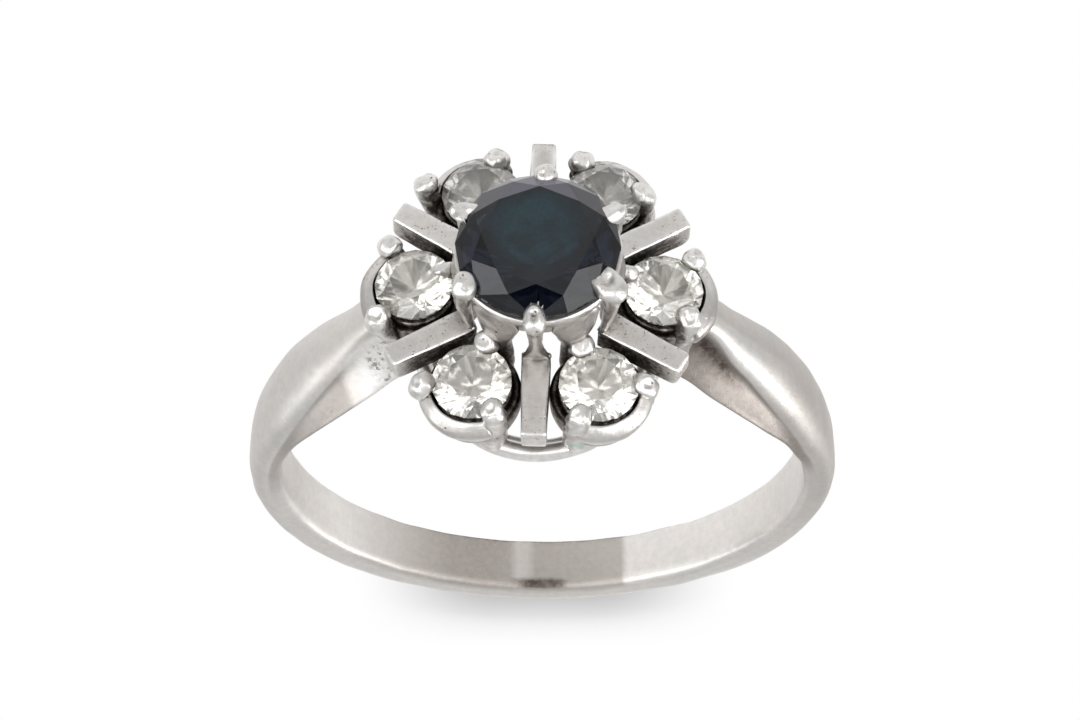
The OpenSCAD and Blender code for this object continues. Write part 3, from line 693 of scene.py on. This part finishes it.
def side_collet(metal, k):
    """Collet of side stone k: seat ring, outer wall with its rail, post to
    the center collet, and three claws."""
    shells = Shells()
    seat = cut_corners(np.array([[0.57, -1.48], [0.85, -1.48], [1.08, -0.9],
                                 [1.20, -0.42], [1.16, -0.32], [0.95, -0.36]]), 3)
    soil = np.interp(seat[:, 1], [-1.4, -0.5, -0.3], [0.8, 0.7, 0.5])
    shells.add(around_stone(seat, k), soil[None], round_rows=True, seed=80 + k)
    turn = HEAD_SPIN + np.pi / 3 * k
    rim_here = RIM_R / np.hypot(np.cos(turn) / RIM_OVAL, np.sin(turn))
    foot_r, foot = rim_here - 0.1 - SIDE_RING_R, RIM_Z0 + RIM_T - 0.1 - SIDE_Z
    at_shoulder = k % 3 == 0
    rail_r, crest, film_and_shade = RAIL_R + 0.08 * at_shoulder, RAIL_TOP + 0.06, RAIL_DARKENING[k]
    outer = [[1.245, -0.44, 0.9], [1.25, -0.14, 0.5], [1.29, -0.09, 0.0], [1.40, -0.13, -0.2],
             [rail_r - 0.10, -0.28, film_and_shade], [rail_r, -0.44, film_and_shade + 0.05],
             [rail_r + 0.01, crest - 0.30, film_and_shade + 0.10], [rail_r - 0.08, crest - 0.48, 0.45]]
    down = [[rail_r - 0.10 + (foot_r + 0.12 - rail_r + 0.10) * f ** 1.6,
             crest - 0.46 + (foot - crest + 0.46) * f, 0.35 * (1 - f)] for f in (0.3, 0.65, 1.0)]
    inner = [[max(0.05, foot_r - 0.28), foot, 0.6], [0.9, -1.2, 0.7], [1.12, -0.85, 0.8]]
    wall = cut_corners(np.array(outer + down + inner))
    arc_shell(shells, wall[:, :2], wall[None, :, 2], -RAIL_SPREAD, RAIL_SPREAD, 60, k, 90 + k)
    for n in range(2):
        side_claw(shells, k, n)
    large, reach, rise, swing = INNER_CLAWS[k]
    rows = [[1.00, 0, -1.5, 0.34, 0.32], [1.30, 0, -1.0, 0.40 * large, 0.34],
            [1.44, 0, -0.4, 0.36 * large, 0.32], [0.5 * reach + 0.78, 0, rise - 0.18, 0.33 * large, 0.31],
            [reach, 0, rise, 0.31 * large, 0.30 * large]]
    p = stalk(rows, (0, 1, 0), steps=8, around=32, tip=12)
    p = filed(p, (reach, 0.0, rise + 0.22 * large), (-0.3, 0.2, 1.0))
    soil = np.interp(p[..., 2], [-0.6, -0.1, 0.1, 0.3], [0.75, 0.45, -0.2, -0.6])
    p = beside(turned(p, np.pi + np.radians(swing)), k)
    shells.add(p, soil, hand=0.012, grain=0.5, seed=120 + k)
    low = cut_corners(np.array([[0.95, -1.75], [1.26, -1.80], [1.44, -1.2],
                                [1.44, -0.62], [1.30, -0.50], [1.05, -0.70]]), 3)
    shells.add(around_stone(low, k), 0.72, round_rows=True, seed=86 + k)
    rows = [[2.16, 0, 9.75, 0.40, 0.34], [2.20, 0, 10.6, 0.46, 0.32], [2.22, 0, 11.6, 0.42, 0.26],
            [2.34, 0, 12.3, 0.60, 0.26], [2.34, 0, 12.9, 0.80, 0.16]]
    p = turned(stalk(rows, (0, 1, 0)), turn)
    soil = np.interp(p[..., 2], [11.5, 12.3], [0.85, 0.5])
    shells.add(p, soil, hand=0.012, grain=0.5, seed=130 + k)
    shells.make(f"side_collet_{k + 1}", metal)


def photo_camera():
    """Camera where the photograph was taken from, worked out upright and then
    laid on its side with the ring."""
    rise, yaw, roll, far, focal = 1.073, 0.022, -0.02, 100.0, 3112.0
    slide, climb = -0.034, 1.287
    d = np.array([-np.sin(yaw) * np.cos(rise), np.cos(yaw) * np.cos(rise), np.sin(rise)])
    right = np.cross(-d, [0, 0, 1.0])
    right /= np.linalg.norm(right)
    up = np.cross(right, -d)
    c, s = np.cos(roll), np.sin(roll)
    right, up = c * right + s * up, -s * right + c * up
    spot = np.array([0, 0, 4.0]) + far * d + slide * right + climb * up
    axes = [laid(way) for way in (right, up, d)]
    data = bpy.data.cameras.new("camera")
    data.lens = focal / 1080 * data.sensor_width
    data.clip_start, data.clip_end = 0.005, 10.0
    camera = bpy.data.objects.new("camera", data)
    bpy.context.collection.objects.link(camera)
    m = np.eye(4)
    m[:3, :3] = np.array(axes).T
    m[:3, 3] = upright_to_scene(spot)
    camera.matrix_world = Matrix(m.tolist())
    bpy.context.scene.camera = camera


def glow_colour(level):
    """White of the given level, as a colour; levels may be up to 2."""
    return (level * 0.5).blend((0, 0, 0, 1), (2, 2, 2, 1))


def floor():
    """Pale floor, which glows a little except where the ring's shadow falls.
    What it gives to the metal is dimmer at the sides and in front."""
    mesh = bpy.data.meshes.new("floor")
    r = 1.5
    mesh.from_pydata([(-r, -r, 0), (r, -r, 0), (r, r, 0), (-r, r, 0)], [], [(0, 1, 2, 3)])
    plane = bpy.data.objects.new("floor", mesh)
    bpy.context.collection.objects.link(plane)
    material, out, w = new_material("pale_floor")
    spot = millimetres(w)
    across, y = (w.add("SeparateXYZ", {}, {0: spot}, n) for n in "XY")
    x = across.math("ABSOLUTE")
    matt = w.add("BsdfDiffuse", {}, {"Color": (0.42, 0.42, 0.42, 1)})
    seen = w.add("LightPath", out="Is Camera Ray")
    sides = 1.0 - x.step(5.0, 12.0) * y.step(-10.0, -15.0) * 0.4
    lit = sides * y.step(-20.0, -11.0, 0.81, 0.95)
    beside_band = x.step(10.0, 15.0) * x.step(50.0, 25.0) * y.step(-16.0, -10.0)
    lit = lit * (1.0 - beside_band * across.step(-10.0, 10.0, 0.40, 0.22))
    lit = lit + across.step(-2.5, 2.5, 0.24, 0.12) * y.step(0.0, 5.0) * x.step(14.0, 9.0)
    light = glow_colour(lit + seen * (1.0 - lit))
    glow = w.add("Emission", {}, {"Color": light, "Strength": 1.0})
    under = y.step(11.0, 13.0) * y.step(17.7, 13.1) * x.step(7.2, 1.7)
    both = w.add("MixShader", {}, {0: under, 1: glow, 2: matt})
    w.tree.links.new(both.socket, out.inputs["Surface"])
    mesh.materials.append(material)


def soft_light(name, place, aim, size, power, mirrored=True, through=True):
    """Soft box at a place in millimetres, aimed at a point. Metal mirrors it
    and stones show it through themselves only where asked."""
    data = bpy.data.lights.new(name, "AREA")
    data.shape, data.size, data.size_y = "RECTANGLE", size[0] * MM, size[1] * MM
    data.energy = power
    light = bpy.data.objects.new(name, data)
    bpy.context.collection.objects.link(light)
    light.location = Vector(place) * MM
    light.rotation_euler = (Vector(aim) - Vector(place)).to_track_quat("-Z", "Y").to_euler()
    light.visible_transmission = through
    light.visible_glossy = mirrored


def from_head(rise, side, far):
    """Point in millimetres at a distance from the head, above the ground in
    front of it by one angle and to the side by the other, in degrees."""
    rise, side = np.radians(rise), np.radians(side)
    way = [np.cos(rise) * np.sin(side), -np.cos(rise) * np.cos(side), np.sin(rise)]
    return np.array(HEAD_SPOT) + far * np.array(way)


def dark_hood():
    """Dark card round the camera, which only shows as a reflection."""
    mesh = bpy.data.meshes.new("camera_hood")
    corners = [(33, -9), (33, 9), (72, 14), (72, -14)]
    mesh.from_pydata([tuple(from_head(*c, 95.0) * MM) for c in corners], [], [(0, 1, 2, 3)])
    card = bpy.data.objects.new("camera_hood", mesh)
    bpy.context.collection.objects.link(card)
    material, out, w = new_material("hood_black")
    w.tree.links.new(w.add("BsdfDiffuse", {}, {"Color": (0.01, 0.01, 0.01, 1)}).socket, out.inputs["Surface"])
    mesh.materials.append(material)
    card.visible_camera = card.visible_diffuse = card.visible_shadow = card.visible_transmission = False


def studio():
    """Soft boxes and a light tent, brighter overhead and behind the band."""
    world = bpy.data.worlds.new("tent")
    bpy.context.scene.world = world
    world.use_nodes = True
    tree = world.node_tree
    tree.nodes.clear()
    w = Wire(tree)
    way = w.add("TexCoord", out="Generated")
    y, z = (w.add("SeparateXYZ", {}, {0: way}, n) for n in "YZ")
    level = z.step(0.0, 0.9, 0.30, 0.70) + y.step(0.70, 0.93) * z.step(0.80, 0.30) * 0.33
    level = level + y.step(-0.70, -0.93) * z.step(0.45, 0.20) * 0.5
    level = level + y.step(0.955, 0.995) * z.step(0.24, 0.08) * 0.6
    seen = w.add("LightPath", out="Is Camera Ray")
    light = glow_colour(level + seen * (1.0 - level))
    sky = w.add("Background", {}, {"Color": light, "Strength": 1.0})
    out = tree.nodes.new("ShaderNodeOutputWorld")
    tree.links.new(sky.socket, out.inputs["Surface"])
    soft_light("key", (-8, -150, 62), (0, 8, 0), (50, 36), 0.85, mirrored=False, through=False)
    soft_light("side_left", (110, 10, 50), (0, 0, 5), (60, 50), 0.022)
    soft_light("side_right", (-110, 20, 46), (0, 0, 5), (33, 44), 0.058)
    for name, side in (("window_left", 48), ("window_right", -48)):
        soft_light(name, from_head(40, side, 120), HEAD_SPOT, (100, 100), 0.075)
    bpy.context.scene.view_settings.view_transform = "Standard"


photo_camera()
metal = white_gold("white_gold")
band_metal = white_gold("white_gold_band", soil_gain=0.6, rough=0.42, specks=0.15, brushed=0.16)
rim_metal = white_gold("white_gold_rim", soil_gain=0.10, rough=0.30, specks=0.4)
shank(band_metal)
base_rim(rim_metal)
for n in range(6):
    bar(metal, n)
center_claws(metal)
center_collet(rim_metal)
for n in range(6):
    side_collet(metal, n)
dark_blue, clear = dark_blue_stone(), clear_stone("clear_stone", 0.98)
# Three stones are dimmer, set stone by stone: one a little, two at the back much more.
grey, dimmed = clear_stone("clear_stone_grey", 0.84), clear_stone("clear_stone_dimmed", 0.55)
finishes = {"center_stone": dark_blue, "side_stone_2": grey, "side_stone_5": dimmed, "side_stone_6": dimmed}
for name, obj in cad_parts.items():
    if name != "ring_mount":
        for s in obj.material_slots:
            s.material = finishes.get(name, clear)
floor()
studio()
dark_hood()
